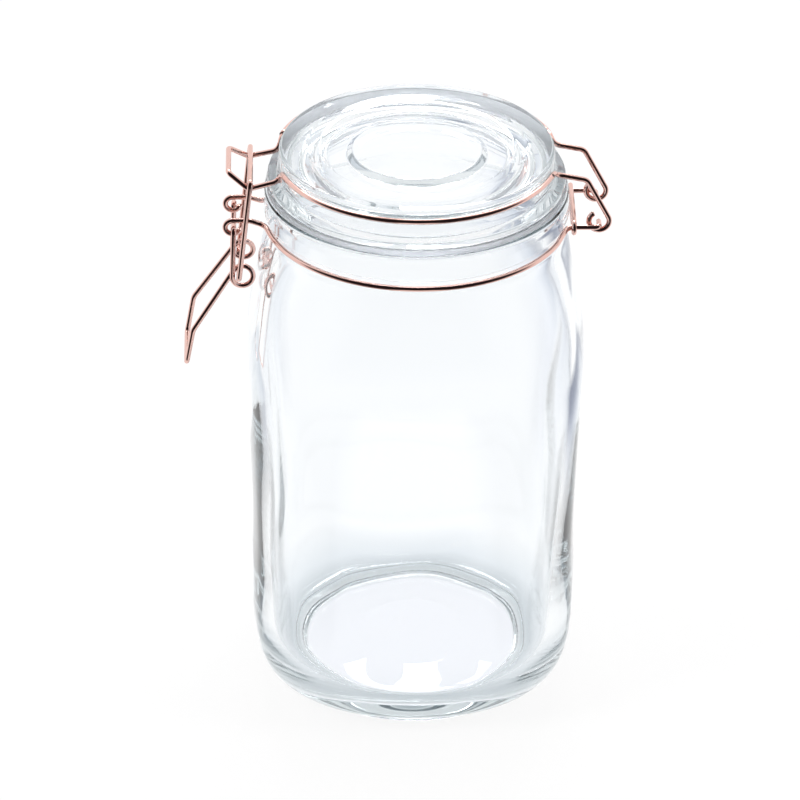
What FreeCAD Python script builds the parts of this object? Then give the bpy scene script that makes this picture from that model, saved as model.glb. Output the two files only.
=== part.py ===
"""Clip-top storage jar: glass jar, seal, glass lid and the bent wire fittings that clamp them.

Frame: millimetres, +Z up, origin on the jar's axis in the plane that it stands on.
The latch is on the -X side and the hinge on the +X side.
"""
import FreeCAD, Part
import math
import os

os.makedirs("parts", exist_ok=True)

# ---------------------------------------------------------------- driving dimensions
# Jar body: a soft square in plan, round at its foot and its neck
PANEL_HALF = 57.7            # half width across the flat sides, in the middle of the body
SHOULDER_BULGE = 2.1         # how far the shoulder stands out past the sides
HEEL_BULGE = 0.6             # how far the heel stands out past the sides
CORNER_RADIUS = 34.0         # upright corners of the body, in plan
SIDE_HALF_ANGLE = 8.0        # degrees of turn in half of one slightly bowed side
HEEL_HEIGHT = 37.0           # height of the rounded heel
HEEL_TURNS = (0, 22, 42, 60, 76, 90)     # degrees round the heel where its sections lie
PANEL_MIDDLE = 62.0          # height of the narrowest place of the sides
PANEL_SWELL = 0.42           # share of the shoulder's bulge half way up to the shoulder
SHOULDER_DROP = 47.0         # from the neck down to the widest place of the shoulder
# Sections from there up to the neck: share of the height, share of the way in to the neck
SHOULDER_CURVE = ((0.0, 0.0), (0.3, 0.10), (0.55, 0.36), (0.78, 0.62), (0.92, 0.80), (1.0, 1.0))
WALL = 3.6                   # glass of the sides
FLOOR = 6.5                  # glass of the floor
FOOT_RADIUS = 43.0           # outside of the round foot
FOOT_HEIGHT = 2.6
FOOT_BAND = 5.0              # width of the ring that touches the table
FOOT_FLARE = 0.6             # how far the foot spreads where it meets the floor
FLOOR_INSET = 2.5            # the flat floor inside, in from the foot
PUSH_UP = 1.8                # hollow under the floor, inside the foot ring

# Finish: the heavy rounded rings round the mouth
RIM_HEIGHT = 192.9           # top face of the jar
MOUTH_RADIUS = 44.6
FINISH_HEIGHT = 15.9         # from the neck, where the shoulder turns round, to the top face
NECK_WALL = 7.2              # glass from the mouth to the groove that holds the neck wire
GROOVE_PLAY = 0.9            # height of the groove's floor above the wire
COLLAR_STEP = 1.6            # the collar above the groove, which stops the wire slipping off
COLLAR_EDGE = 1.6            # rounding of the collar's top edge

# Seal and lid
SEAL_THICKNESS = 2.6
SEAL_OVERHANG = 0.4          # the seal past the lid's flange
SEAL_SETBACK = 0.6           # the seal's bore, back from the mouth
LID_SETBACK = 1.4            # the lid's flange, in from the collar
LID_FLANGE_THICKNESS = 2.6
LID_STEP = 4.0               # width of the flange round the upper part of the lid
LID_HEIGHT = 13.0            # from the seal to the top of the lid's edge
LID_EDGE = 14.0              # width of that edge, round the sunk panel
LID_RECESS_DEPTH = 3.2
LID_PANEL_WIDTH = 10.6       # width of the sunk panel round its low raised disc
LID_BOSS_HEIGHT = 1.7        # height of that disc
LID_PLUG_GAP = 0.6           # between the mouth and the ring under the lid that centres it
LID_PLUG_WIDTH = 3.4
LID_PLUG_DEPTH = 4.2         # how far that ring hangs below the flange
LID_GLASS = 4.4              # glass between the sunk panel and the hollow under it

# Wire fittings
WIRE = 1.9                   # diameter of all the spring wire
TIE_WIRE = 1.8
FIT = 0.1                    # gap between a wire and the glass or wire that it grips
RUN_GAP = 0.35               # gap between wires that slide past each other
PIN_BEND = 1.5               # centre-line radius where a pin leaves its wire
PIN_END = 1.5                # how far a pin stands out past the wire that it turns in
RING_BEND = 8.0              # where a ring leaves for its latch or its hinge
RING_STRAIGHT = 2.0          # straight wire between a ring and that bend
RING_ROOM = 2.4              # a ring ends at least this far to the side of its arm
ARM_BEND = 3.4               # where an arm turns to run straight out

# Wire round the neck, in two halves
NECK_WIRE_RISE = 3.9         # from the neck to the wire's centre line
NECK_LATCH_TURN = 19.0       # where the ring ends on the latch side, degrees from -X
NECK_HINGE_TURN = 26.0       # and on the hinge side, degrees from +X
NECK_ARM_LIFT = 2.3          # the two hinge arms above the ring
NECK_ARM_HALF = 13.4         # half spacing of those arms
HINGE_ARM = 10.45            # from the ring out to the hinge axis
TIE_SETBACK = 8.8            # the tie round the two arms, in from the hinge axis
EYE_HALF = 8.6               # half spacing of the eyes, and of the coils' inner ends
EYE_PLAY = 0.7               # room round a lever pin in its eye
EYE_GAP = 0.3                # between the pin and the side of the eye that it lies nearest
EYE_REST = 5.5               # level run between an eye and the drop to the ring
EYE_DROP = 1.8               # the first part of that drop

# Wire round the lid
LID_WIRE_DROP = 3.5          # from the top of the lid's edge to the wire's centre line
LID_HINGE_TURN = 19.0        # where the ring ends on the hinge side, degrees from +X
LID_LATCH_TURN = 17.0        # and on the latch side, degrees from -X
LID_KNEE = (4.5, 4.4)        # bend above a hook: in from the hinge axis, down from the ring
LID_ARM_DROP = 2.2           # drop of the hinge arm where it leaves the ring
LID_NOTCH_DROP = 4.4         # drop of the latch arm where it leaves the ring
HOOK_PLAY = 1.65             # room round a hinge pin in its hook
HOOK_GAP = 0.4               # under the pin, because the hooks are pulled up
HOOK_SWEEP = 268.0           # degrees of wire round a hook
NOTCH_OFFSET = (5.15, 7.2)   # bottom of the notch: in from the lever's axis, down from the ring
NOTCH_HALF = 12.1            # half spacing of the wires there
NOTCH_SPREAD = 0.6           # the wires come this much closer on their way to the ring
NOTCH_BEND = 2.6
NOSE_OFFSET = (1.75, 2.3)    # nose: out from the lever's axis, down from the ring
NOSE_HALF = 9.2              # half length of the nose's bar
NOSE_BEND = 2.0

# Latch: the lever with its handle, and the link
LATCH_ARM = 10.9             # from the neck wire out to the lever's axis
LEVER_DROP = 0.05            # the lever's axis below the neck wire
LINK_OFFSET = (1.75, 18.75)  # the link's axis: in from the lever's axis, and down from it
COIL_PLAY = 1.7              # room round a link pin in its coil
COIL_GAP = 0.4               # between the pin and the side of the coil that it lies nearest
COIL_CLEARANCE = 0.3         # between the coils and the jar's shoulder
LINK_BAR_SHIFT = 0.7         # the link's bar lies this far inside the notch's bottom
NOTCH_CLEARANCE = 1.25       # play over the notch, which the latch takes up as it passes centre
HANDLE_KNEE = (14.45, 20.6)  # bend: out from the lever's axis, down from the link's axis
HANDLE_KNEE_HALF = 12.0
HANDLE_KNEE_BEND = 6.0
HANDLE_END = (16.85, 34.4)
HANDLE_END_HALF = 11.2
HANDLE_END_BEND = 2.2

# ---------------------------------------------------------------- sizes that follow
HALF_WIRE = WIRE / 2
NECK_HEIGHT = RIM_HEIGHT - FINISH_HEIGHT
SHOULDER_HEIGHT = NECK_HEIGHT - SHOULDER_DROP
GROOVE_RADIUS = MOUTH_RADIUS + NECK_WALL
COLLAR_RADIUS = GROOVE_RADIUS + COLLAR_STEP

SEAL_TOP = RIM_HEIGHT + SEAL_THICKNESS
LID_FLANGE_RADIUS = COLLAR_RADIUS - LID_SETBACK
SEAL_RADIUS = LID_FLANGE_RADIUS + SEAL_OVERHANG
SEAL_BORE = MOUTH_RADIUS + SEAL_SETBACK
LID_TOP = SEAL_TOP + LID_HEIGHT
LID_RADIUS = LID_FLANGE_RADIUS - LID_STEP
LID_RECESS_RADIUS = LID_RADIUS - LID_EDGE
LID_BOSS_RADIUS = LID_RECESS_RADIUS - LID_PANEL_WIDTH
LID_PLUG_RADIUS = MOUTH_RADIUS - LID_PLUG_GAP

NECK_WIRE_RADIUS = GROOVE_RADIUS + HALF_WIRE + FIT
NECK_WIRE_HEIGHT = NECK_HEIGHT + NECK_WIRE_RISE
NECK_ARM_HEIGHT = NECK_WIRE_HEIGHT + NECK_ARM_LIFT
LID_WIRE_RADIUS = LID_RADIUS + HALF_WIRE + FIT
LID_WIRE_HEIGHT = LID_TOP - LID_WIRE_DROP
HINGE_REACH = NECK_WIRE_RADIUS + HINGE_ARM
EYE_TURN = WIRE + EYE_PLAY                       # centre-line radii of eyes, hooks and coils
HOOK_TURN = WIRE + HOOK_PLAY
COIL_TURN = WIRE + COIL_PLAY
ARM_HALF = EYE_HALF + WIRE + RUN_GAP             # lever arms, just outside the eyes
LINK_FOOT_HALF = ARM_HALF + WIRE + RUN_GAP       # link legs, just outside the lever arms
LINK_TOP_HALF = NOTCH_HALF + WIRE + RUN_GAP      # link legs, just outside the notch
HOOK_HALF = NECK_ARM_HALF - WIRE - RUN_GAP       # lid wire hooks, just inside the neck arms


def shoulder_half(height):
    """Half width of the shoulder at a height, straight between its sections."""
    share = (height - SHOULDER_HEIGHT) / SHOULDER_DROP
    widest = PANEL_HALF + SHOULDER_BULGE
    for (low, inward_low), (high, inward_high) in zip(SHOULDER_CURVE, SHOULDER_CURVE[1:]):
        if low <= share <= high:
            inward = inward_low + (inward_high - inward_low) * (share - low) / (high - low)
            return widest + (GROOVE_RADIUS - widest) * inward
    return widest


def ring_end(turn, radius, arm_half):
    """Where a ring ends, in degrees, so that on a small ring too it has room for the bend."""
    return max(turn, math.degrees(math.asin((arm_half + RING_ROOM) / radius)))


def reach_past_shoulder(height, radius):
    """How far out a rod of this radius has to lie at this height to touch the shoulder."""
    turns = [math.radians(degrees) for degrees in range(-90, 91, 5)]
    return max(shoulder_half(height + radius * math.sin(turn)) + radius * math.cos(turn)
               for turn in turns)


# The lever's axis stands clear of both the neck wire's arms and, at the coils, the shoulder
LINK_HEIGHT = NECK_WIRE_HEIGHT - LEVER_DROP - LINK_OFFSET[1]
COIL_SHIFT = COIL_PLAY - COIL_GAP                # centre of the coils from the link's pins
COIL_REACH = reach_past_shoulder(LINK_HEIGHT, COIL_TURN + HALF_WIRE + COIL_CLEARANCE)
LATCH_REACH = max(NECK_WIRE_RADIUS + LATCH_ARM, COIL_REACH + COIL_SHIFT + LINK_OFFSET[0])
LEVER_PIVOT = (-LATCH_REACH, NECK_WIRE_HEIGHT - LEVER_DROP)
LINK_PIVOT = (LINK_OFFSET[0] - LATCH_REACH, LINK_HEIGHT)
NOTCH = (NOTCH_OFFSET[0] - LATCH_REACH, LID_WIRE_HEIGHT - NOTCH_OFFSET[1])
NOSE = (-LATCH_REACH - NOSE_OFFSET[0], LID_WIRE_HEIGHT - NOSE_OFFSET[1])

# Where the rings end, in degrees from +X, on the half that lies on -Y
NOTCH_ARM_HALF = NOTCH_HALF - NOTCH_SPREAD
NECK_LATCH_ANGLE = 180 + ring_end(NECK_LATCH_TURN, NECK_WIRE_RADIUS, EYE_HALF)
NECK_HINGE_ANGLE = 360 - ring_end(NECK_HINGE_TURN, NECK_WIRE_RADIUS, NECK_ARM_HALF)
LID_HINGE_ANGLE = 360 - ring_end(LID_HINGE_TURN, LID_WIRE_RADIUS, HOOK_HALF)
LID_LATCH_ANGLE = 180 + ring_end(LID_LATCH_TURN, LID_WIRE_RADIUS, NOTCH_ARM_HALF)


def point(x, y, z):
    return FreeCAD.Vector(x, y, z)


# ---------------------------------------------------------------- lines with rounded bends
def bend_edges(corners, radii, closed=False):
    """Straight runs between the corners, joined by tangent arcs of the given radii."""
    count = len(corners)
    tangents = []
    for i, radius in enumerate(radii):
        if not closed and i in (0, count - 1):
            tangents.append(0.0)
            continue
        before = corners[i] - corners[i - 1]
        after = corners[(i + 1) % count] - corners[i]
        tangents.append(radius * math.tan(before.getAngle(after) / 2))

    edges = []
    start = None
    for i in range(count + (1 if closed else 0)):
        here = corners[i % count]
        tangent = tangents[i % count]
        back = (corners[(i - 1) % count] - here).normalize() * tangent
        ahead = (corners[(i + 1) % count] - here).normalize() * tangent
        entry, leave = here + back, here + ahead
        if start is not None and start.distanceToPoint(entry) > 1e-4:
            edges.append(Part.LineSegment(start, entry).toShape())
        last = closed and i == count
        if tangent > 1e-4 and not last:
            middle = (back + ahead).normalize()
            half_turn = (-back).getAngle(ahead) / 2
            radius = tangent / math.tan(half_turn)
            depth = radius / math.cos(half_turn) - radius
            edges.append(Part.Arc(entry, here + middle * depth, leave).toShape())
        start = leave
    return edges


def bent_wire(corners, radii, diameter=WIRE, closed=False):
    """Round wire bent along the corners."""
    edges = bend_edges(corners, radii, closed)
    path = Part.Wire(edges)
    first = edges[0]
    start = first.valueAt(first.FirstParameter)
    heading = first.tangentAt(first.FirstParameter)
    section = Part.Wire(Part.Circle(start, heading, diameter / 2).toShape())
    return path.makePipeShell([section], True, False)


def turned(profile):
    """Solid of revolution about Z from rows of (radius, height, corner radius)."""
    corners = [point(r, 0, z) for r, z, _ in profile]
    edges = bend_edges(corners, [rounding for _, _, rounding in profile], closed=True)
    face = Part.Face(Part.Wire(edges))
    return face.revolve(point(0, 0, 0), point(0, 0, 1), 360)


def ring_corners(radius, height, start, end, count):
    """Corners of the polygon round an arc; bends of the same radius make it a true arc."""
    step = (end - start) / count
    reach = radius / math.cos(math.radians(step / 2))
    corners = []
    for i in range(count):
        angle = math.radians(start + (i + 0.5) * step)
        corners.append(point(reach * math.cos(angle), reach * math.sin(angle), height))
    return corners


def coil_corners(centre, radius, start, end, y_start, y_end, count):
    """The same polygon in the XZ plane, shifting along Y as it turns."""
    step = (end - start) / count
    reach = radius / math.cos(math.radians(step / 2))
    corners = []
    for i in range(count):
        share = (i + 0.5) / count
        angle = math.radians(start + share * (end - start))
        x = centre[0] + reach * math.cos(angle)
        z = centre[1] + reach * math.sin(angle)
        corners.append(point(x, y_start + share * (y_end - y_start), z))
    return corners


def mirrored(corners):
    """The same corners on the other side of the XZ plane, in reverse order."""
    return [point(c.x, -c.y, c.z) for c in reversed(corners)]


def on_circle(centre, radius, angle, y):
    turn = math.radians(angle)
    return point(centre[0] + radius * math.cos(turn), y, centre[1] + radius * math.sin(turn))


# ---------------------------------------------------------------- the jar
def soft_square(half_width, corner_radius, height):
    """Outline of eight tangent arcs: four bowed sides and four corners."""
    turn = math.radians(SIDE_HALF_ANGLE)
    share = math.cos(turn) - math.sin(turn)
    side_radius = (half_width - corner_radius * share) / (1 - share)
    side_centre = half_width - side_radius
    corner_centre = (side_radius - corner_radius) * math.sin(turn)

    def spot(quarter, angle, radius, cx, cy):
        x = cx + radius * math.cos(angle)
        y = cy + radius * math.sin(angle)
        around = quarter * math.pi / 2
        return point(x * math.cos(around) - y * math.sin(around),
                     x * math.sin(around) + y * math.cos(around), height)

    edges = []
    for quarter in range(4):
        side = [spot(quarter, a, side_radius, side_centre, 0) for a in (-turn, 0, turn)]
        corner = [spot(quarter, a, corner_radius, corner_centre, corner_centre)
                  for a in (turn, math.pi / 4, math.pi / 2 - turn)]
        edges.append(Part.Arc(*side).toShape())
        edges.append(Part.Arc(side[2], corner[1], corner[2]).toShape())
    return Part.Wire(edges)


def heel_rows(flat_half, bottom, side_half, corner_radius, top):
    """Rows of the rounded heel: a quarter ellipse from the round floor out to the sides."""
    rows = []
    for degrees in HEEL_TURNS:
        turn = math.radians(degrees)
        out, up = math.sin(turn), 1 - math.cos(turn)
        half = flat_half + (side_half - flat_half) * out
        rows.append((bottom + (top - bottom) * up, half,
                     flat_half + (corner_radius - flat_half) * out))
    return rows


def body_rows(inset, flat_half, bottom, neck):
    """Height, half width and corner radius of the body, inset by the glass for its inside."""
    side = PANEL_HALF - inset
    corner = CORNER_RADIUS - inset
    rows = heel_rows(flat_half, bottom, side + HEEL_BULGE, corner, HEEL_HEIGHT)
    rows.append((PANEL_MIDDLE, side, corner))
    half_way = (PANEL_MIDDLE + SHOULDER_HEIGHT) / 2
    rows.append((half_way, side + PANEL_SWELL * SHOULDER_BULGE, corner))
    widest = side + SHOULDER_BULGE
    rise = NECK_HEIGHT - SHOULDER_HEIGHT
    for share, inward in SHOULDER_CURVE:
        half = widest + (neck - widest) * inward
        rows.append((SHOULDER_HEIGHT + rise * share, half, corner + (neck - corner) * inward))
    return rows


def loft(rows):
    return Part.makeLoft([soft_square(half, corner, z) for z, half, corner in rows], True, False)


def finish_ring():
    """The neck and mouth, turned about the axis."""
    groove_top = NECK_WIRE_HEIGHT + HALF_WIRE + GROOVE_PLAY
    return turned([
        (MOUTH_RADIUS, NECK_HEIGHT - 6, 0),
        (GROOVE_RADIUS - 2.0, NECK_HEIGHT - 6, 0),
        (GROOVE_RADIUS, NECK_HEIGHT, 3.0),
        (GROOVE_RADIUS, groove_top, 0.6),
        (COLLAR_RADIUS, groove_top + 1.4, 1.2),
        (COLLAR_RADIUS, RIM_HEIGHT - 4.0, 8.0),
        (COLLAR_RADIUS - 0.4, RIM_HEIGHT, COLLAR_EDGE),
        (MOUTH_RADIUS, RIM_HEIGHT, 1.2),
    ])


def foot_ring():
    """The round ring that the jar stands on."""
    return turned([
        (FOOT_RADIUS - FOOT_BAND, 0, 1.0),
        (FOOT_RADIUS, 0, 1.2),
        (FOOT_RADIUS + FOOT_FLARE, FOOT_HEIGHT + 1, 0),
        (FOOT_RADIUS - FOOT_BAND - 1.5, FOOT_HEIGHT + 1, 0),
    ])


def make_jar_body():
    hollow_radius = FOOT_RADIUS - FOOT_BAND - 3
    ball = (hollow_radius ** 2 + PUSH_UP ** 2) / (2 * PUSH_UP)
    hollow = Part.makeSphere(ball, point(0, 0, FOOT_HEIGHT + PUSH_UP - ball))
    outside = loft(body_rows(0, FOOT_RADIUS + FOOT_FLARE, FOOT_HEIGHT, GROOVE_RADIUS)).cut(hollow)
    outside = outside.fuse([foot_ring(), finish_ring()])
    inside = loft(body_rows(WALL, FOOT_RADIUS - FLOOR_INSET, FOOT_HEIGHT + FLOOR, MOUTH_RADIUS))
    throat = Part.makeCylinder(MOUTH_RADIUS, RIM_HEIGHT - NECK_HEIGHT + 2, point(0, 0, NECK_HEIGHT - 1))
    return outside.cut([inside, throat])


# ---------------------------------------------------------------- seal and lid
def make_seal_ring():
    return turned([
        (SEAL_BORE, RIM_HEIGHT, 0.4),
        (SEAL_RADIUS, RIM_HEIGHT, 0.7),
        (SEAL_RADIUS, SEAL_TOP, 0.7),
        (SEAL_BORE, SEAL_TOP, 0.4),
    ])


def make_lid_glass():
    flange_top = SEAL_TOP + LID_FLANGE_THICKNESS
    panel = LID_TOP - LID_RECESS_DEPTH
    plug_bottom = SEAL_TOP - LID_PLUG_DEPTH
    hollow_top = panel - LID_GLASS
    return turned([
        (0, panel + LID_BOSS_HEIGHT + 0.5, 0),
        (LID_BOSS_RADIUS - 1.0, panel + LID_BOSS_HEIGHT, 1.2),
        (LID_BOSS_RADIUS + 1.2, panel, 1.2),
        (LID_RECESS_RADIUS - 2.2, panel, 1.6),
        (LID_RECESS_RADIUS, LID_TOP - 0.6, 1.6),
        (LID_RECESS_RADIUS + 4.0, LID_TOP, 5.0),
        (LID_RADIUS, LID_TOP - 0.4, 1.6),
        (LID_RADIUS, flange_top + 1.2, 2.4),
        (LID_FLANGE_RADIUS, flange_top - 0.2, 0.8),
        (LID_FLANGE_RADIUS, SEAL_TOP, 0.6),
        (LID_PLUG_RADIUS, SEAL_TOP, 0.5),
        (LID_PLUG_RADIUS - 0.6, plug_bottom, 1.2),
        (LID_PLUG_RADIUS - 0.6 - LID_PLUG_WIDTH, plug_bottom, 1.2),
        (LID_PLUG_RADIUS - 0.6 - 2 * LID_PLUG_WIDTH, hollow_top, 4.0),
        (0, hollow_top, 0),
    ])


# ---------------------------------------------------------------- wire round the neck
def make_neck_wire(side):
    """One half of the neck wire: an eye for the lever, the half ring, an arm and a hinge pin.

    side is -1 for the half on -Y and +1 for the half on +Y.
    """
    eye = (LEVER_PIVOT[0] + EYE_GAP - EYE_PLAY, LEVER_PIVOT[1])
    eye_top = eye[1] + EYE_TURN
    corners = [on_circle(eye, EYE_TURN, -10, -EYE_HALF)]
    radii = [0]
    turns = coil_corners(eye, EYE_TURN, -10, -270, -EYE_HALF, -EYE_HALF, 6)
    corners += turns
    radii += [EYE_TURN] * len(turns)

    ring_start = tangent_point(NECK_WIRE_RADIUS, NECK_LATCH_ANGLE, -RING_STRAIGHT, NECK_WIRE_HEIGHT)
    knee_x = tangent_x_at(NECK_WIRE_RADIUS, NECK_LATCH_ANGLE, -EYE_HALF)
    corners += [point(knee_x - EYE_REST, -EYE_HALF, eye_top),
                point(knee_x, -EYE_HALF, eye_top - EYE_DROP), ring_start]
    radii += [6.0, ARM_BEND, RING_BEND]

    turns = ring_corners(NECK_WIRE_RADIUS, NECK_WIRE_HEIGHT, NECK_LATCH_ANGLE, NECK_HINGE_ANGLE, 5)
    corners += turns
    radii += [NECK_WIRE_RADIUS] * len(turns)

    ring_finish = tangent_point(NECK_WIRE_RADIUS, NECK_HINGE_ANGLE, RING_STRAIGHT, NECK_WIRE_HEIGHT)
    knee_x = tangent_x_at(NECK_WIRE_RADIUS, NECK_HINGE_ANGLE, -NECK_ARM_HALF)
    corners += [ring_finish,
                point(knee_x, -NECK_ARM_HALF, NECK_ARM_HEIGHT),
                point(HINGE_REACH, -NECK_ARM_HALF, NECK_ARM_HEIGHT),
                point(HINGE_REACH, -HOOK_HALF + HALF_WIRE + PIN_END, NECK_ARM_HEIGHT)]
    radii += [RING_BEND, ARM_BEND, PIN_BEND, 0]
    if side > 0:
        corners = [point(c.x, -c.y, c.z) for c in corners]
    return bent_wire(corners, radii)


def tangent_point(radius, angle, along, height):
    """The point a little way along the tangent of the ring at an angle."""
    turn = math.radians(angle)
    return point(radius * math.cos(turn) - along * math.sin(turn),
                 radius * math.sin(turn) + along * math.cos(turn), height)


def tangent_x_at(radius, angle, y):
    """Where the tangent of the ring at an angle crosses the line at this y."""
    turn = math.radians(angle)
    return (radius - y * math.sin(turn)) / math.cos(turn)


def make_ring_tie():
    """A closed loop of thinner wire round both hinge arms of the neck wire."""
    turn = HALF_WIRE + TIE_WIRE / 2 + FIT
    top, bottom = NECK_ARM_HEIGHT + turn, NECK_ARM_HEIGHT - turn
    end = NECK_ARM_HALF + turn
    x = HINGE_REACH - TIE_SETBACK
    corners = [point(x, 0, top), point(x, end, top), point(x, end, bottom),
               point(x, -end, bottom), point(x, -end, top)]
    return bent_wire(corners, [0] + [turn] * 4, TIE_WIRE, closed=True)


# ---------------------------------------------------------------- wire round the lid
def make_lid_wire():
    """Hook, arm, ring, notch and nose, then the same again on the other side."""
    hinge = (HINGE_REACH, NECK_ARM_HEIGHT + HOOK_PLAY - HOOK_GAP)
    knee = point(HINGE_REACH - LID_KNEE[0], -HOOK_HALF, LID_WIRE_HEIGHT - LID_KNEE[1])
    slope = math.degrees(math.atan2(hinge[1] - knee.z, hinge[0] - knee.x))
    reach = math.hypot(hinge[0] - knee.x, hinge[1] - knee.z)
    leave = slope + 90 + math.degrees(math.asin(HOOK_TURN / reach))
    start = leave - HOOK_SWEEP
    corners = [on_circle(hinge, HOOK_TURN, start, -HOOK_HALF)]
    radii = [0]
    turns = coil_corners(hinge, HOOK_TURN, start, leave, -HOOK_HALF, -HOOK_HALF, 6)
    corners += turns
    radii += [HOOK_TURN] * len(turns)

    ring_start = tangent_point(LID_WIRE_RADIUS, LID_HINGE_ANGLE, RING_STRAIGHT, LID_WIRE_HEIGHT)
    knee_x = tangent_x_at(LID_WIRE_RADIUS, LID_HINGE_ANGLE, -HOOK_HALF)
    corners += [knee, point(knee_x, -HOOK_HALF, LID_WIRE_HEIGHT - LID_ARM_DROP), ring_start]
    radii += [3.0, ARM_BEND, RING_BEND]

    turns = ring_corners(LID_WIRE_RADIUS, LID_WIRE_HEIGHT, LID_HINGE_ANGLE, LID_LATCH_ANGLE, 5)
    corners += turns
    radii += [LID_WIRE_RADIUS] * len(turns)

    ring_finish = tangent_point(LID_WIRE_RADIUS, LID_LATCH_ANGLE, -RING_STRAIGHT, LID_WIRE_HEIGHT)
    knee_x = tangent_x_at(LID_WIRE_RADIUS, LID_LATCH_ANGLE, -NOTCH_ARM_HALF)
    corners += [ring_finish, point(knee_x, -NOTCH_ARM_HALF, LID_WIRE_HEIGHT - LID_NOTCH_DROP),
                point(NOTCH[0], -NOTCH_HALF, NOTCH[1]),
                point(NOSE[0], -NOSE_HALF, NOSE[1])]
    radii += [6.0, ARM_BEND, NOTCH_BEND, NOSE_BEND]
    return bent_wire(corners + mirrored(corners), radii + radii[::-1])


# ---------------------------------------------------------------- latch
def make_lever():
    """Pins in the neck wire's eyes, arms with a coil each, and the handle."""
    coil = (LINK_PIVOT[0] + COIL_SHIFT, LINK_PIVOT[1])
    pivot_x, pivot_z = LEVER_PIVOT
    knee_x, knee_z = pivot_x - HANDLE_KNEE[0], coil[1] - HANDLE_KNEE[1]
    slope = math.degrees(math.atan2(knee_z - coil[1], knee_x - coil[0]))
    reach = math.hypot(knee_x - coil[0], knee_z - coil[1])
    leave = slope + 360 - math.degrees(math.acos(COIL_TURN / reach)) + 360
    arm_slope = math.degrees(math.atan2(pivot_z - coil[1], pivot_x - coil[0]))
    arm_reach = math.hypot(pivot_z - coil[1], pivot_x - coil[0])
    enter = arm_slope + math.degrees(math.acos(COIL_TURN / arm_reach))

    corners = [point(pivot_x, -EYE_HALF + HALF_WIRE + PIN_END, pivot_z),
               point(pivot_x, -ARM_HALF, pivot_z)]
    radii = [0, PIN_BEND]
    turns = coil_corners(coil, COIL_TURN, enter, leave, -ARM_HALF, -EYE_HALF, 9)
    corners += turns
    radii += [COIL_TURN] * len(turns)
    corners += [point(knee_x, -HANDLE_KNEE_HALF, knee_z),
                point(pivot_x - HANDLE_END[0], -HANDLE_END_HALF, coil[1] - HANDLE_END[1])]
    radii += [HANDLE_KNEE_BEND, HANDLE_END_BEND]
    return bent_wire(corners + mirrored(corners), radii + radii[::-1])


def make_link():
    """The loop that joins the lever's coils to the notch in the lid wire's nose."""
    bar_x = NOTCH[0] + LINK_BAR_SHIFT
    bar_z = NOTCH[1] + WIRE + NOTCH_CLEARANCE
    pin_x, pin_z = LINK_PIVOT
    corners = [point(pin_x, -EYE_HALF + HALF_WIRE + PIN_END, pin_z),
               point(pin_x, -LINK_FOOT_HALF, pin_z),
               point(bar_x, -LINK_TOP_HALF, bar_z)]
    radii = [0, PIN_BEND, PIN_BEND]
    return bent_wire(corners + mirrored(corners), radii + radii[::-1])


# ---------------------------------------------------------------- write the parts
PARTS = {
    "jar_body": make_jar_body(),
    "seal_ring": make_seal_ring(),
    "lid_glass": make_lid_glass(),
    "neck_wire_front": make_neck_wire(-1),
    "neck_wire_back": make_neck_wire(1),
    "ring_tie": make_ring_tie(),
    "lid_wire": make_lid_wire(),
    "lever": make_lever(),
    "link": make_link(),
}
for name, shape in PARTS.items():
    shape.exportStep("parts/" + name + ".step")
    print(name, "valid", shape.isValid(), "solids", len(shape.Solids), "volume", round(shape.Volume))
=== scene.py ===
"""Looks of a clip-top glass jar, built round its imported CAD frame.

Sizes of the jar are in millimetres, and MM turns them to metres. The studio is in metres.
"""
import bmesh
import bpy
import math
from mathutils import Matrix, Vector, noise


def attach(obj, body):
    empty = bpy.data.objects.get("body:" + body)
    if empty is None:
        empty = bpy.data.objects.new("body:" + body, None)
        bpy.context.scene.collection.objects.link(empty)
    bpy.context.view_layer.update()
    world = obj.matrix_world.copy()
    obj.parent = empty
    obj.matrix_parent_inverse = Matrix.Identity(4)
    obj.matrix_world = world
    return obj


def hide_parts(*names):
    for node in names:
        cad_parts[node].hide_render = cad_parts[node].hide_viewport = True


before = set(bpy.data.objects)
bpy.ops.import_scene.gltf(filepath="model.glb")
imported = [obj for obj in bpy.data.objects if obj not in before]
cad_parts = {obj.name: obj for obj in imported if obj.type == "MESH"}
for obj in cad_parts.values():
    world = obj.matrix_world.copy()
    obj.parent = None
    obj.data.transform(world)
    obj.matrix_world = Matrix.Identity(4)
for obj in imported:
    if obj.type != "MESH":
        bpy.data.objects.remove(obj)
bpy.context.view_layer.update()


# ------------------------------------------------------------------------------------------
# Studio: a table top that is white to the camera but carries painted shade and a painted dark reflection for
# the glass and metal, a white surround with darker screens, and the camera.
# The glass has only a light grey tint, so most of what it bends and mirrors comes from these.
# Camera rays, mirrored rays and bent rays each meet a different surround, set for the front view.

MM = 0.001
CAMERA_TARGET = Vector((-5.0, 0.0, 105.8)) * MM
CAMERA_DISTANCE = 2.1
CAMERA_TURN = math.radians(1.5)
CAMERA_ELEVATION = math.radians(30.5)
CAMERA_ROLL = math.radians(0.6)
CAMERA_LENS = 265.5
TABLE_HALF = 3.0
GLASS_BOUNCES = 32
BENT_LIGHT = 1.09               # over the white that the camera sees, to make up for the tint


def linear(hex_colour):
    """An sRGB hex colour as linear RGBA."""
    parts = [int(hex_colour[i:i + 2], 16) / 255 for i in (1, 3, 5)]
    return [c / 12.92 if c <= 0.04045 else ((c + 0.055) / 1.055) ** 2.4 for c in parts] + [1.0]


def node(tree, kind, links=None, **settings):
    """Adds a node. Settings are its properties or inputs by name, and links join inputs to sockets."""
    made = tree.nodes.new(kind)
    for name, value in settings.items():
        if hasattr(made, name):
            setattr(made, name, value)
        else:
            made.inputs[name.replace("_", " ")].default_value = value
    for name, socket in (links or {}).items():
        tree.links.new(socket, made.inputs[name])
    return made


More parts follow.
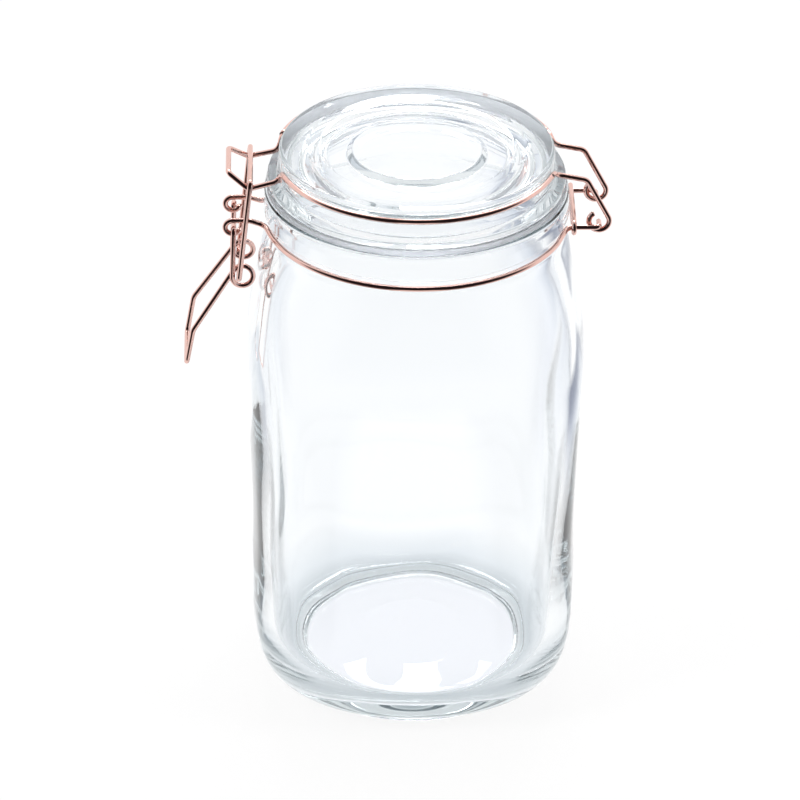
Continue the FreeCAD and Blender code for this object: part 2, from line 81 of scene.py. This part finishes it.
def ramp(made, stops):
    """Sets a colour ramp's stops from rows of (place, hex colour)."""
    elements = made.color_ramp.elements
    while len(elements) < len(stops):
        elements.new(1.0)
    for element, (place, colour) in zip(elements, stops):
        element.position = place
        element.color = linear(colour)


world = bpy.data.worlds.new("studio")
bpy.context.scene.world = world
world.use_nodes = True
tree = world.node_tree
tree.nodes.clear()
direction = node(tree, "ShaderNodeTexCoord").outputs["Generated"]
depth = node(tree, "ShaderNodeSeparateXYZ", {0: direction}).outputs["Y"]
front = node(tree, "ShaderNodeMapRange", {"Value": depth}, From_Min=1.0, From_Max=-1.0)
front_ramp = node(tree, "ShaderNodeValToRGB", {"Fac": front.outputs["Result"]})
ramp(front_ramp, [(0.46, "#FFFFFF"), (0.54, "#8A7E80"), (0.60, "#2A2426"), (1.0, "#1C1618")])
toward = node(tree, "ShaderNodeVectorMath", {0: direction}, operation="DOT_PRODUCT")
toward.inputs[1].default_value = (0.0, -0.77, 0.64)
high = node(tree, "ShaderNodeMapRange", {"Value": toward.outputs["Value"]}, From_Min=-1.0, From_Max=1.0)
bent_ramp = node(tree, "ShaderNodeValToRGB", {"Fac": high.outputs["Result"]})
ramp(bent_ramp, [(0.75, "#FFFFFF"), (0.88, "#E6E9F0"), (0.93, "#B0B8C6"), (1.0, "#7D869A")])
path = node(tree, "ShaderNodeLightPath")
surround = node(tree, "ShaderNodeMix", {0: path.outputs["Is Transmission Ray"],
                                        6: front_ramp.outputs["Color"],
                                        7: bent_ramp.outputs["Color"]}, data_type="RGBA")
seen = node(tree, "ShaderNodeBackground", Strength=1.0)
seen.inputs["Color"].default_value = (1, 1, 1, 1)
around = node(tree, "ShaderNodeBackground", {"Color": surround.outputs[2]}, Strength=BENT_LIGHT)
mixed = node(tree, "ShaderNodeMixShader", {0: path.outputs["Is Camera Ray"], 1: around.outputs[0],
                                           2: seen.outputs[0]})
node(tree, "ShaderNodeOutputWorld", {"Surface": mixed.outputs[0]})

bm = bmesh.new()
bmesh.ops.create_grid(bm, x_segments=1, y_segments=1, size=TABLE_HALF)
table_mesh = bpy.data.meshes.new("table_top")
bm.to_mesh(table_mesh)
bm.free()
table_top = bpy.data.objects.new("table_top", table_mesh)
bpy.context.scene.collection.objects.link(table_top)
table_material = bpy.data.materials.new("white_table")
table_material.use_nodes = True
tree = table_material.node_tree
tree.nodes.clear()
path = node(tree, "ShaderNodeLightPath")
place = node(tree, "ShaderNodeTexCoord").outputs["Object"]
parts = node(tree, "ShaderNodeSeparateXYZ", {0: place})
# What the glass bends: white behind the jar, painted shade in grey bands left and right of it, and painted
# shade under it, all painted on the table for bent light only.
side = node(tree, "ShaderNodeMapRange", {"Value": parts.outputs["X"]}, From_Min=-0.5, From_Max=0.5)
painted_side_shade_ramp = node(tree, "ShaderNodeValToRGB", {"Fac": side.outputs["Result"]})
ramp(painted_side_shade_ramp, [(0.18, "#FFFFFF"), (0.25, "#CCD2DA"), (0.34, "#E4E8EE"), (0.44, "#FFFFFF"),
                 (0.56, "#FFFFFF"), (0.60, "#F2F4F9"), (0.65, "#C3CAD7"), (0.70, "#7C859B"),
                 (0.75, "#727B91"), (0.82, "#FFFFFF")])
# Painted shade: grey bands on the table behind the jar, left and right, which only bent light sees.
behind = node(tree, "ShaderNodeMapRange", {"Value": parts.outputs["Y"]}, From_Min=0.05, From_Max=0.11)
painted_side_shade = node(tree, "ShaderNodeMix", {0: behind.outputs["Result"], 7: painted_side_shade_ramp.outputs["Color"]},
               data_type="RGBA")
painted_side_shade.inputs[6].default_value = (1, 1, 1, 1)
# Painted shade on the table round the jar's foot, darkest from 45 to 52 mm out, with a faint one inside it,
# seen only through the glass.
reach = node(tree, "ShaderNodeVectorMath", {0: place}, operation="LENGTH")
near = node(tree, "ShaderNodeMapRange", {"Value": reach.outputs["Value"]}, From_Max=0.10)
painted_under_shade_ramp = node(tree, "ShaderNodeValToRGB", {"Fac": near.outputs["Result"]})
ramp(painted_under_shade_ramp, [(0.41, "#F5F5F9"), (0.45, "#CAD1D3"), (0.52, "#C6CDD1"), (0.64, "#EBEFF2"),
                  (0.85, "#FFFFFF")])
through = node(tree, "ShaderNodeMix", {6: painted_side_shade.outputs[2], 7: painted_under_shade_ramp.outputs["Color"]},
               data_type="RGBA", blend_type="MULTIPLY")
through.inputs[0].default_value = 1.0
# What metal and glass mirror: white close by, and a painted dark reflection, as of a dark room, on the table
# past its front and sides, for mirrored light only.
beside = node(tree, "ShaderNodeMath", {0: parts.outputs["X"]}, operation="ABSOLUTE")
middle = node(tree, "ShaderNodeMapRange", {"Value": beside.outputs[0]}, From_Min=0.075, From_Max=0.050)
before = node(tree, "ShaderNodeMapRange", {"Value": parts.outputs["Y"]}, From_Min=-0.38, From_Max=-0.28)
nearby = node(tree, "ShaderNodeMapRange", {"Value": parts.outputs["Y"]}, From_Min=-0.16, From_Max=-0.08)
strip = node(tree, "ShaderNodeMath", {0: middle.outputs[0], 1: before.outputs[0]}, operation="MINIMUM")
painted_reflection_mask = node(tree, "ShaderNodeMath", {0: strip.outputs[0], 1: nearby.outputs[0]}, operation="MAXIMUM")
painted_reflection_ramp = node(tree, "ShaderNodeValToRGB", {"Fac": painted_reflection_mask.outputs[0]})
ramp(painted_reflection_ramp, [(0.0, "#2A2426"), (1.0, "#FFFFFF")])
# The table's colour for light off the glass and metal: painted shade for bent light, painted reflection for
# mirrored light.
painted_shade_and_reflection = node(tree, "ShaderNodeMix", {0: path.outputs["Is Transmission Ray"],
                                           6: painted_reflection_ramp.outputs["Color"],
                                           7: through.outputs[2]}, data_type="RGBA")
diffuse = node(tree, "ShaderNodeBsdfDiffuse")
diffuse.inputs["Color"].default_value = linear("#FFFFFF")
glow = node(tree, "ShaderNodeEmission", Strength=1.0)
# The table glows with this painted shade and reflection for bent and mirrored light, though it is no lamp.
bent = node(tree, "ShaderNodeEmission", {"Color": painted_shade_and_reflection.outputs[2]}, Strength=BENT_LIGHT)
paper = node(tree, "ShaderNodeMixShader", {1: diffuse.outputs[0], 2: glow.outputs[0]})
paper.inputs[0].default_value = 0.9
seen_again = node(tree, "ShaderNodeMixShader", {0: path.outputs["Is Diffuse Ray"], 1: bent.outputs[0],
                                                2: diffuse.outputs[0]})
shown = node(tree, "ShaderNodeMixShader", {0: path.outputs["Is Camera Ray"], 1: seen_again.outputs[0],
                                           2: paper.outputs[0]})
node(tree, "ShaderNodeOutputMaterial", {"Surface": shown.outputs[0]})
table_mesh.materials.append(table_material)


def soft_lamp(name, place, aim, size, watts):
    lamp = bpy.data.lights.new(name, "AREA")
    lamp.shape = "RECTANGLE"
    lamp.size, lamp.size_y = size
    lamp.energy = watts
    made = bpy.data.objects.new(name, lamp)
    made.location = place
    made.rotation_euler = (Vector(place) - Vector(aim)).to_track_quat("Z", "Y").to_euler()
    bpy.context.scene.collection.objects.link(made)
    return made


for name, place, watts in (("softbox_left", (-1.1, -0.5, 1.3), 12), ("softbox_right", (1.2, -0.3, 1.1), 8)):
    lamp = soft_lamp(name, place, (0, 0, 0.1), (0.5, 0.8), watts)
    lamp.visible_glossy = lamp.visible_transmission = False
for index in (-1, 0, 1):
    soft_lamp("window_pane", (0.1 + 0.36 * index, 1.2, 1.5), (0, 0, 0.1), (0.22, 0.5), 4)

camera_data = bpy.data.cameras.new("camera")
camera_data.lens = CAMERA_LENS
camera_data.sensor_width = 36.0
camera_data.clip_end = 20.0
camera = bpy.data.objects.new("camera", camera_data)
forward = Vector((math.sin(CAMERA_TURN) * math.cos(CAMERA_ELEVATION),
                  math.cos(CAMERA_TURN) * math.cos(CAMERA_ELEVATION), -math.sin(CAMERA_ELEVATION)))
level = Vector((math.cos(CAMERA_TURN), -math.sin(CAMERA_TURN), 0))
upright = level.cross(forward)
right = level * math.cos(CAMERA_ROLL) + upright * math.sin(CAMERA_ROLL)
up = upright * math.cos(CAMERA_ROLL) - level * math.sin(CAMERA_ROLL)
facing = Matrix((right, up, -forward)).transposed().to_4x4()
camera.matrix_world = Matrix.Translation(CAMERA_TARGET - forward * CAMERA_DISTANCE) @ facing
bpy.context.scene.collection.objects.link(camera)
bpy.context.scene.camera = camera
bpy.context.scene.view_settings.view_transform = "Standard"

# Light crosses up to a dozen glass surfaces on its way through the jar and its lid.
bpy.context.scene.cycles.max_bounces = GLASS_BOUNCES
bpy.context.scene.cycles.transmission_bounces = GLASS_BOUNCES
bpy.context.scene.cycles.glossy_bounces = GLASS_BOUNCES


# ------------------------------------------------------------------------------------------
# Jar body: pressed and blown soda-lime glass, one thick wall from the foot over the rim.
# It is drawn as rings from the middle of the underside, up the outside and down the inside.

WALL = 3.6
SIDES = 160                     # corners of each ring
ROW_GAP = 5.0
PANEL_HALF, CORNER_RADIUS = 57.7, 34.0     # in plan, half way up the sides and at the corners
SHOULDER_BULGE, HEEL_BULGE, PANEL_SWELL = 2.1, 0.6, 0.42
SIDE_HALF_ANGLE = math.radians(8.0)
HEEL_TOP, PANEL_MIDDLE, SHOULDER, NECK = 37.0, 62.0, 130.0, 177.0
SHOULDER_CURVE = ((0.0, 0.0), (0.3, 0.10), (0.55, 0.36), (0.78, 0.62), (0.92, 0.80), (1.0, 1.0))
MOUTH_RADIUS, GROOVE_RADIUS, COLLAR_RADIUS = 44.6, 51.8, 53.4
RIM_HEIGHT = 192.9
FOOT_HEIGHT, FLOOR = 2.6, 6.5
FOOT_INNER, FOOT_OUTER = 42.6, 47.6
FLOOR_HALF = 42.5
STIPPLE = 0.45                  # depth of the knurling that the foot ring stands on
HEEL_THICKER = 1.8              # extra glass low in the sides, where a blown jar is thickest
UNEVEN = 0.7                    # how far the blown inside wanders from the moulded outside
UNEVEN_LENGTH = 28.0            # size of that unevenness
UNEVEN_START = 11.0             # no unevenness below this height, so that the floor stays clean
UNEVEN_FADE_LOW, UNEVEN_FADE_HIGH = 25.0, 30.0     # it grows and fades over these heights
TINT_DENSITY = 14.0             # absorption per metre, stronger than in clear glass


def soft_reach(angle, half, corner):
    """How far the outline of eight tangent arcs lies from its middle, in one direction."""
    quarter = abs((angle + math.pi / 4) % (math.pi / 2) - math.pi / 4)
    share = math.cos(SIDE_HALF_ANGLE) - math.sin(SIDE_HALF_ANGLE)
    side = (half - corner * share) / (1 - share)
    side_middle = half - side
    corner_middle = (side - corner) * math.sin(SIDE_HALF_ANGLE)
    edge = math.atan2(side * math.sin(SIDE_HALF_ANGLE), side_middle + side * math.cos(SIDE_HALF_ANGLE))
    if quarter < edge:
        across = side_middle * math.sin(quarter)
        return side_middle * math.cos(quarter) + math.sqrt(side ** 2 - across ** 2)
    along = corner_middle * (math.cos(quarter) + math.sin(quarter))
    across = corner_middle * (math.cos(quarter) - math.sin(quarter))
    return along + math.sqrt(corner ** 2 - across ** 2)


def wall_rows(inset, flat_half, bottom, neck, thicker=0.0):
    """Height, half width and corner radius from the heel to the neck. thicker is extra glass at the heel."""
    side, corner = PANEL_HALF - inset, CORNER_RADIUS - inset
    rows = []
    for degrees in (2, 4, 6, 8, 10, 12, 14, 16, 20, 26, 36, 46, 56, 66, 78, 90):
        turn = math.radians(degrees)
        out, rise = math.sin(turn), 1 - math.cos(turn)
        rows.append((bottom + (HEEL_TOP - bottom) * rise,
                     flat_half + (side + HEEL_BULGE - thicker - flat_half) * out,
                     flat_half + (corner - flat_half) * out))
    rows.append((PANEL_MIDDLE, side - 0.4 * thicker, corner))
    rows.append(((PANEL_MIDDLE + SHOULDER) / 2, side + PANEL_SWELL * SHOULDER_BULGE, corner))
    widest = side + SHOULDER_BULGE
    for share, inward in SHOULDER_CURVE:
        rows.append((SHOULDER + (NECK - SHOULDER) * share, widest + (neck - widest) * inward,
                     corner + (neck - corner) * inward))
    return rows


def eased(rows, spacing):
    """A smooth line through rows of numbers, with rows about this far apart."""
    knots = [0.0]
    for a, b in zip(rows, rows[1:]):
        knots.append(knots[-1] + math.dist(a[:2], b[:2]))
    count = len(rows)
    slopes = []
    for i in range(count):
        low, high = max(i - 1, 0), min(i + 1, count - 1)
        span = knots[high] - knots[low]
        slopes.append([(b - a) / span for a, b in zip(rows[low], rows[high])])
    out = []
    for i in range(count - 1):
        width = knots[i + 1] - knots[i]
        steps = max(1, round(width / spacing))
        for step in range(steps):
            t = step / steps
            out.append(tuple(
                a * (2 * t ** 3 - 3 * t ** 2 + 1) + b * (3 * t ** 2 - 2 * t ** 3)
                + width * (ga * (t ** 3 - 2 * t ** 2 + t) + gb * (t ** 3 - t ** 2))
                for a, b, ga, gb in zip(rows[i], rows[i + 1], slopes[i], slopes[i + 1])))
    out.append(tuple(rows[-1]))
    return out


def rounded(corners, fine=6):
    """A profile of (radius, height) points from rows of (radius, height, rounding)."""
    points = []
    for i, (r, z, rounding) in enumerate(corners):
        here = Vector((r, z))
        if rounding == 0 or i in (0, len(corners) - 1):
            points.append((r, z))
            continue
        before = (Vector(corners[i - 1][:2]) - here).normalized()
        after = (Vector(corners[i + 1][:2]) - here).normalized()
        half = before.angle(after) / 2
        middle = here + (before + after).normalized() * rounding / math.sin(half)
        start = here + before * rounding / math.tan(half) - middle
        finish = here + after * rounding / math.tan(half) - middle
        sweep = start.angle_signed(finish)
        for k in range(fine + 1):
            turn = Matrix.Rotation(-sweep * k / fine, 2)
            point = middle + turn @ start
            points.append((point.x, point.y))
    return points


def round_rows(corners, fine=6):
    """The same profile as rows of (height, radius, radius), for the round parts of the jar."""
    return [(z, r, r) for r, z in rounded(corners, fine)]


def smooth_object(name, shape):
    """Turns a bmesh into a smooth-shaded object whose faces look outward."""
    bmesh.ops.recalc_face_normals(shape, faces=shape.faces)
    mesh = bpy.data.meshes.new(name)
    shape.to_mesh(mesh)
    shape.free()
    for polygon in mesh.polygons:
        polygon.use_smooth = True
    made = bpy.data.objects.new(name, mesh)
    bpy.context.scene.collection.objects.link(made)
    return made


outside_foot = round_rows([
    (4.0, FOOT_HEIGHT + 1.8, 0), (20.0, FOOT_HEIGHT + 1.3, 20), (FOOT_INNER - 2.6, FOOT_HEIGHT, 3),
    (FOOT_INNER - 1.2, FOOT_HEIGHT - 0.6, 1.0), (FOOT_INNER - 0.4, 0.6, 0.5)]
    + [(FOOT_INNER + (FOOT_OUTER - FOOT_INNER) * share, 0.0, 0) for share in (0.1, 0.3, 0.5, 0.7, 0.9)]
    + [(FOOT_OUTER + 0.1, 0.8, 0.4), (FOOT_OUTER + 0.5, FOOT_HEIGHT - 0.1, 0)], 2)
outside_wall = eased(wall_rows(0.0, FOOT_OUTER + 0.6, FOOT_HEIGHT, GROOVE_RADIUS), ROW_GAP)
finish = round_rows([
    (GROOVE_RADIUS, NECK + 0.8, 0), (GROOVE_RADIUS, 182.75, 0.6), (COLLAR_RADIUS, 184.15, 1.2),
    (COLLAR_RADIUS, 188.9, 8.0), (COLLAR_RADIUS - 0.4, RIM_HEIGHT, 1.6),
    (MOUTH_RADIUS, RIM_HEIGHT, 1.2), (MOUTH_RADIUS, NECK + 1.5, 0)])
inside_rows = wall_rows(WALL, FLOOR_HALF, FOOT_HEIGHT + FLOOR, MOUTH_RADIUS, HEEL_THICKER)
inside_wall = eased(inside_rows, ROW_GAP)[::-1]
inside_floor = [(FOOT_HEIGHT + FLOOR + 0.05, r, r) for r in (38.0, 30.0, 20.0, 10.0, 4.0)]
body_line = outside_foot + outside_wall + finish + inside_wall + inside_floor

bm = bmesh.new()
ring = bmesh.ops.create_circle(bm, cap_ends=True, cap_tris=False, segments=SIDES, radius=1.0)["verts"]
loop = list(bm.edges)
outer_rows = len(outside_foot) + len(outside_wall) + len(finish)
for index, (height, half, corner) in enumerate(body_line):
    if index:
        made = bmesh.ops.extrude_edge_only(bm, edges=loop)["geom"]
        ring = [part for part in made if isinstance(part, bmesh.types.BMVert)]
        edges = [part for part in made if isinstance(part, bmesh.types.BMEdge)]
        loop = [edge for edge in edges if set(ring).issuperset(edge.verts)]
    for vert in ring:
        angle = math.atan2(vert.co.y, vert.co.x)
        reach = soft_reach(angle, half, corner)
        if index >= outer_rows and UNEVEN_START < height < NECK:
            fade = min(1.0, (NECK - height) / UNEVEN_FADE_HIGH, (height - UNEVEN_START) / UNEVEN_FADE_LOW)
            spot = Vector((math.cos(angle) * half, math.sin(angle) * half, height * 0.55)) / UNEVEN_LENGTH
            reach += UNEVEN * fade * noise.noise(spot)
        vert.co = Vector((reach * math.cos(angle), reach * math.sin(angle), height))
        if FOOT_INNER < half < FOOT_OUTER and height < 0.1:
            tooth = round(angle / (2 * math.pi) * SIDES) + index
            vert.co.z += STIPPLE * (tooth % 2)
bmesh.ops.contextual_create(bm, geom=loop)
bmesh.ops.scale(bm, vec=(MM, MM, MM), verts=bm.verts)
jar_glass = smooth_object("jar_glass", bm)
smoother = jar_glass.modifiers.new("smooth", "SUBSURF")
smoother.levels = smoother.render_levels = 1

# Soda-lime glass, fire polished: no grain, only long shallow waves left by the mould and
# the blowing, and a grey tint that shows where the light runs a long way inside the wall.
glass = bpy.data.materials.new("clear_soda_lime_glass")
glass.use_nodes = True
tree = glass.node_tree
tree.nodes.clear()
place = node(tree, "ShaderNodeTexCoord").outputs["Object"]
waves = node(tree, "ShaderNodeTexNoise", {"Vector": place}, Scale=14.0, Detail=1.0, Roughness=0.3)
bump = node(tree, "ShaderNodeBump", {"Height": waves.outputs[0]}, Strength=0.05, Distance=0.004)
clear = node(tree, "ShaderNodeBsdfPrincipled", {"Normal": bump.outputs[0]}, IOR=1.52, Roughness=0.0)
clear.inputs["Transmission Weight"].default_value = 1.0
clear.inputs["Base Color"].default_value = linear("#FDFEFF")
haze = node(tree, "ShaderNodeVolumeAbsorption", Density=TINT_DENSITY)
haze.inputs["Color"].default_value = linear("#D2DADC")
node(tree, "ShaderNodeOutputMaterial", {"Surface": clear.outputs[0], "Volume": haze.outputs[0]})
jar_glass.data.materials.append(glass)
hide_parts("jar_body")
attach(jar_glass, "jar")


# ------------------------------------------------------------------------------------------
# Seal: a flat band of clear silicone, moulded in one piece, that lies loose between the jar's
# rim and the lid's flange. It stands a hair past the flange all round.

SEAL_TOP = 195.5
SEAL_LAP = 0.04                 # kept between the seal and the glass, so that no faces coincide


def turned_piece(name, profile, steps=192):
    """Spins a closed or axis-to-axis profile of (radius, height) points about the jar's axis."""
    shape = bmesh.new()
    line = [shape.verts.new((r * MM, 0.0, z * MM)) for r, z in profile]
    edges = [shape.edges.new(pair) for pair in zip(line, line[1:])]
    if profile[0][0] > 0:
        edges.append(shape.edges.new((line[-1], line[0])))
    bmesh.ops.spin(shape, geom=line + edges, cent=(0, 0, 0), axis=(0, 0, 1), angle=2 * math.pi,
                   steps=steps, use_merge=True)
    bmesh.ops.remove_doubles(shape, verts=shape.verts, dist=1e-6)
    return smooth_object(name, shape)


seal = turned_piece("seal_band", rounded([
    (46.0, RIM_HEIGHT + SEAL_LAP, 0), (52.4, RIM_HEIGHT + SEAL_LAP, 0.7), (52.4, SEAL_TOP - SEAL_LAP, 0.7),
    (45.2, SEAL_TOP - SEAL_LAP, 0.4), (45.2, RIM_HEIGHT + SEAL_LAP, 0.4), (45.9, RIM_HEIGHT + SEAL_LAP, 0)]))

# Clear silicone rubber: milky, softer than glass, with the fine grain of its mould.
silicone = bpy.data.materials.new("clear_moulded_silicone")
silicone.use_nodes = True
tree = silicone.node_tree
tree.nodes.clear()
place = node(tree, "ShaderNodeTexCoord").outputs["Object"]
grain = node(tree, "ShaderNodeTexNoise", {"Vector": place}, Scale=900.0, Detail=3.0)
matt = node(tree, "ShaderNodeMapRange", {"Value": grain.outputs[0]}, To_Min=0.28, To_Max=0.48)
dents = node(tree, "ShaderNodeBump", {"Height": grain.outputs[0]}, Strength=0.1, Distance=0.0003)
soft = node(tree, "ShaderNodeBsdfPrincipled", {"Roughness": matt.outputs[0], "Normal": dents.outputs[0]},
            IOR=1.41)
soft.inputs["Transmission Weight"].default_value = 0.85
soft.inputs["Base Color"].default_value = linear("#F1F3F7")
node(tree, "ShaderNodeOutputMaterial", {"Surface": soft.outputs[0]})
seal.data.materials.append(silicone)
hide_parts("seal_ring")
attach(seal, "jar")


# ------------------------------------------------------------------------------------------
# Lid: pressed glass, turned from one profile, with a sunk panel round a low raised disc on
# top and, underneath, a ring that hangs in the mouth and keeps the lid centred.

LID_TOP = 208.48
PANEL, HOLLOW_TOP = 205.3, 200.9

lid = turned_piece("lid_pressed", rounded([
    (0, PANEL + 2.2, 0), (22.4, PANEL + 1.7, 1.2), (24.6, PANEL, 1.2), (31.8, PANEL, 1.6),
    (34.0, LID_TOP - 0.6, 1.6), (38.0, LID_TOP, 5.0), (48.0, LID_TOP - 0.4, 1.6), (48.0, 199.3, 2.4),
    (52.0, 197.9, 0.8), (52.0, SEAL_TOP, 0.6), (44.0, SEAL_TOP, 0.5), (43.4, 191.3, 1.2),
    (40.0, 191.3, 1.2), (36.6, HOLLOW_TOP, 4.0), (0, HOLLOW_TOP, 0)]))
lid.data.materials.append(glass)
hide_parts("lid_glass")
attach(lid, "jar")


# ------------------------------------------------------------------------------------------
# Wire round the neck, front half: spring wire bent on a former into an eye for the lever, a
# half ring that lies in the neck's groove, and an arm that ends in a hinge pin.

# Steel wire under a rose gold plating: bright, with faint lines along it from the drawing
# die and patches where handling has dulled it.
rose = bpy.data.materials.new("rose_gold_plated_wire")
rose.use_nodes = True
tree = rose.node_tree
tree.nodes.clear()
place = node(tree, "ShaderNodeTexCoord").outputs["Object"]
patches = node(tree, "ShaderNodeTexNoise", {"Vector": place}, Scale=260.0, Detail=3.0)
dulled = node(tree, "ShaderNodeMapRange", {"Value": patches.outputs[0]}, To_Min=0.06, To_Max=0.16)
scuffs = node(tree, "ShaderNodeTexNoise", {"Vector": place}, Scale=2200.0, Detail=2.0)
lines = node(tree, "ShaderNodeBump", {"Height": scuffs.outputs[0]}, Strength=0.05, Distance=0.0001)
metal = node(tree, "ShaderNodeBsdfPrincipled", {"Roughness": dulled.outputs[0], "Normal": lines.outputs[0]},
             Metallic=1.0)
metal.inputs["Base Color"].default_value = linear("#E3BCB2")
node(tree, "ShaderNodeOutputMaterial", {"Surface": metal.outputs[0]})

END_ROUNDING = 0.25             # the cut ends of the wires


def bent_wire(name, body):
    """A merged copy of a wire, smooth, with its cut ends rounded over."""
    shape = bmesh.new()
    shape.from_mesh(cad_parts[name].data)
    bmesh.ops.remove_doubles(shape, verts=shape.verts, dist=1e-6)
    ends = [e for e in shape.edges if e.is_manifold and e.calc_face_angle() > math.radians(60)]
    bmesh.ops.bevel(shape, geom=ends, offset=END_ROUNDING * MM, segments=3, profile=0.5, affect="EDGES",
                    material=-1)
    made = smooth_object(name + "_plated", shape)
    made.data.materials.clear()
    made.data.materials.append(rose)
    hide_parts(name)
    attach(made, body)
    return made


# The rings are switched off for light that the glass bends, so their far sides don't show in it.
bent_wire("neck_wire_front", "jar").visible_transmission = False


# ------------------------------------------------------------------------------------------
# Wire round the neck, back half: the front half mirrored, of the same plated wire. Nothing
# fastens it but the groove, the tie and the lever's pin.

bent_wire("neck_wire_back", "jar").visible_transmission = False


# ------------------------------------------------------------------------------------------
# Tie: a closed loop of slightly thinner wire of the same plating, pressed round the two
# hinge arms to hold the halves of the neck wire together.

bent_wire("ring_tie", "jar")


# ------------------------------------------------------------------------------------------
# Wire round the lid: one length of the same plated wire, with a hook on each hinge pin, a
# ring that holds the lid under its edge, and a nose with the notch that the link pulls on.

bent_wire("lid_wire", "jar").visible_transmission = False


# ------------------------------------------------------------------------------------------
# Lever: one length of the same plated wire. Its pins turn in the eyes of the neck wire, a
# coil in each arm holds the link, and the free end is bent into the handle.

bent_wire("lever", "lever")


# ------------------------------------------------------------------------------------------
# Link: an open loop of the same plated wire. Its pins turn in the lever's coils and its bar
# lies in the notch of the lid's wire.

bent_wire("link", "link")

bpy.context.view_layer.update()
